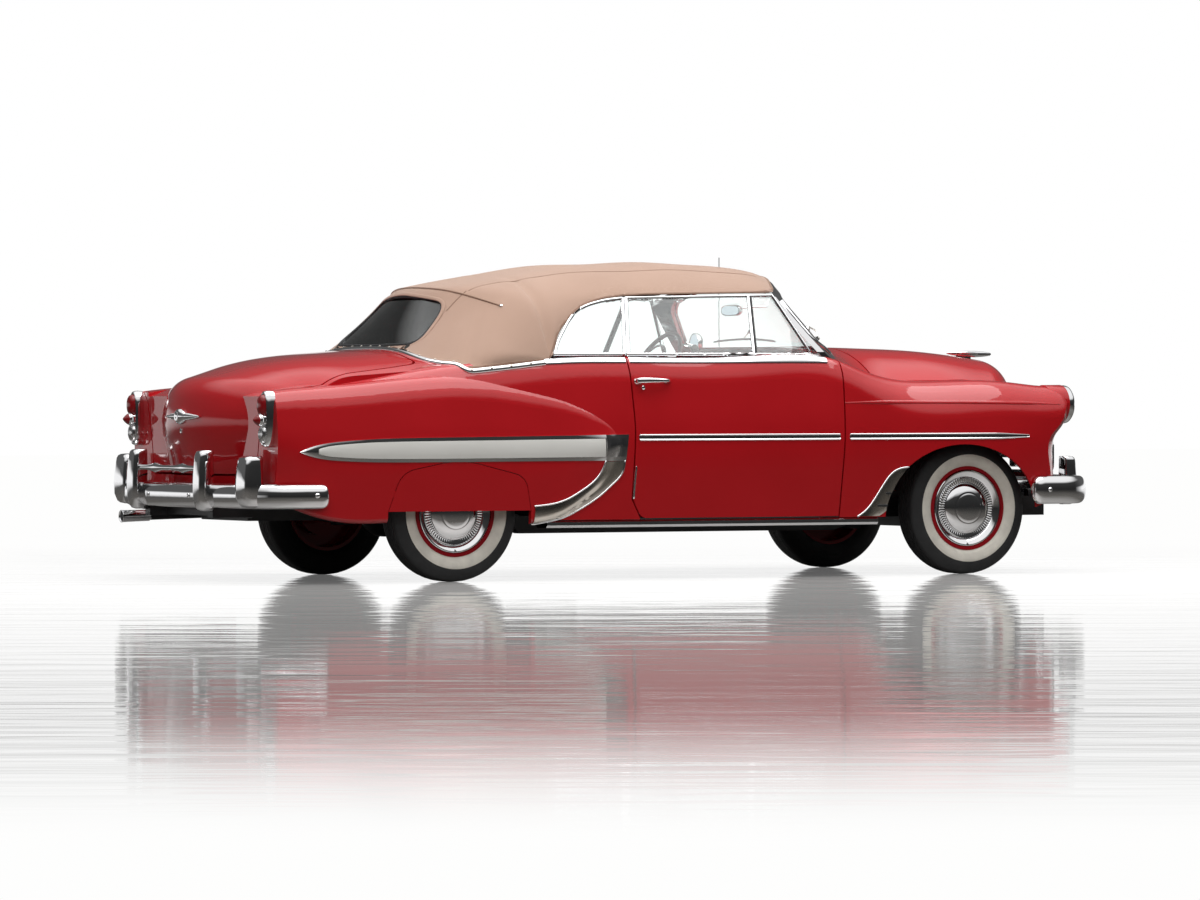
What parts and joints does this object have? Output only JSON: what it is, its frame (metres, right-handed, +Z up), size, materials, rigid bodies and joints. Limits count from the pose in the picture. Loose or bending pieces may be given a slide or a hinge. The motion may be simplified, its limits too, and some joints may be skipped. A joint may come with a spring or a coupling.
{
  "type": "convertible car",
  "caption": "Two-door 1950s full-size convertible with a raised cloth top, opening doors, hood and trunk lid, steered front wheels and skirted rear wheels.",
  "frame": {"origin": "on the ground, below the middle of the overall length", "axes": "+X forward, +Y to the left, +Z up"},
  "size_m": [4.9726, 1.906, 1.638],
  "materials": {
    "body_paint": "deep gloss red enamel, clear and smooth",
    "chrome_trim": "bright polished chrome and stainless",
    "canvas": "tan woven canvas, matt",
    "clear_glass": "clear safety glass",
    "tyre": "black rubber with a white side band",
    "wheel_steel": "red painted steel with a chrome cap",
    "frame_black": "satin black paint",
    "cast_metal": "dull painted casting",
    "seat_vinyl": "dark red vinyl",
    "control_plastic": "glossy maroon plastic"
  },
  "bodies": {
    "car_body": {"antenna": "chrome_trim", "chassis_frame": "frame_black", "cowl": "body_paint", "dashboard": "body_paint", "engine_block": "cast_metal", "exhaust_pipe": "frame_black", "fender_skirts": "body_paint", "floor_pan": "frame_black", "front_bumper": "chrome_trim", "front_fender_left": "body_paint", "front_fender_right": "body_paint", "front_seat": "seat_vinyl", "front_suspension": "frame_black", "fuel_tank": "frame_black", "grille": "chrome_trim", "headlamps": "chrome_trim", "nose_panel": "body_paint", "quarter_glass": "clear_glass", "quarter_panel_left": "body_paint", "quarter_panel_right": "body_paint", "radiator": "frame_black", "rear_axle": "frame_black", "rear_bumper": "chrome_trim", "rear_deck": "body_paint", "rear_seat": "seat_vinyl", "rear_window": "clear_glass", "rocker_sills": "chrome_trim", "side_mirror": "chrome_trim", "soft_top": "canvas", "steering_column": "control_plastic", "tail_lamps": "chrome_trim", "tail_panel": "body_paint", "windshield_frame": "chrome_trim", "windshield_glass": "clear_glass"},
    "hood": {"hood": "body_paint", "hood_ornament": "chrome_trim"},
    "trunk_lid": {"trunk_lid": "body_paint"},
    "door_left": {"door_left": "body_paint", "door_glass_left": "clear_glass"},
    "knuckle_left": {"knuckle_left": "frame_black"},
    "wheel_front_left": {"wheel_front_left": "wheel_steel", "tyre_front_left": "tyre"},
    "wheel_rear_left": {"wheel_rear_left": "wheel_steel", "tyre_rear_left": "tyre"},
    "door_right": {"door_right": "body_paint", "door_glass_right": "clear_glass"},
    "knuckle_right": {"knuckle_right": "frame_black"},
    "wheel_front_right": {"wheel_front_right": "wheel_steel", "tyre_front_right": "tyre"},
    "wheel_rear_right": {"wheel_rear_right": "wheel_steel", "tyre_rear_right": "tyre"},
    "steering_wheel": {"steering_wheel": "control_plastic"}
  },
  "joints": [
    {"name": "hood_hinge", "type": "hinge", "parent": "car_body", "child": "hood", "pos_m": [1.045, 0, 1.11], "axis": [0, -1, 0], "range_deg": [0, 45]},
    {"name": "trunk_hinge", "type": "hinge", "parent": "car_body", "child": "trunk_lid", "pos_m": [-1.345, 0, 1.119], "axis": [0, 1, 0], "range_deg": [0, 65]},
    {"name": "door_left_hinge", "type": "hinge", "parent": "car_body", "child": "door_left", "pos_m": [0.785, 0.89, 0.7], "axis": [0, 0, -1], "range_deg": [0, 65]},
    {"name": "door_right_hinge", "type": "hinge", "parent": "car_body", "child": "door_right", "pos_m": [0.785, -0.89, 0.7], "axis": [0, 0, 1], "range_deg": [0, 65]},
    {"name": "steer_left", "type": "hinge", "parent": "car_body", "child": "knuckle_left", "pos_m": [1.651, 0.645, 0.337], "axis": [0, 0, 1], "range_deg": [-35, 35]},
    {"name": "steer_right", "type": "hinge", "parent": "car_body", "child": "knuckle_right", "pos_m": [1.651, -0.645, 0.337], "axis": [0, 0, 1], "range_deg": [-35, 35]},
    {"name": "steering_wheel_turn", "type": "hinge", "parent": "car_body", "child": "steering_wheel", "pos_m": [0.445, 0.36, 1.048], "axis": [-0.866, 0, 0.5], "range_deg": [-700, 700]},
    {"name": "spin_front_left", "type": "hinge", "parent": "knuckle_left", "child": "wheel_front_left", "pos_m": [1.651, 0.72, 0.337], "axis": [0, 1, 0], "continuous": true},
    {"name": "spin_front_right", "type": "hinge", "parent": "knuckle_right", "child": "wheel_front_right", "pos_m": [1.651, -0.72, 0.337], "axis": [0, 1, 0], "continuous": true},
    {"name": "spin_rear_left", "type": "hinge", "parent": "car_body", "child": "wheel_rear_left", "pos_m": [-1.27, 0.746, 0.337], "axis": [0, 1, 0], "continuous": true},
    {"name": "spin_rear_right", "type": "hinge", "parent": "car_body", "child": "wheel_rear_right", "pos_m": [-1.27, -0.746, 0.337], "axis": [0, 1, 0], "continuous": true}
  ],
  "couplings": [
    {"joint": "steer_right", "follows": "steer_left", "ratio": 1},
    {"joint": "steering_wheel_turn", "follows": "steer_left", "ratio": 20}
  ]
}
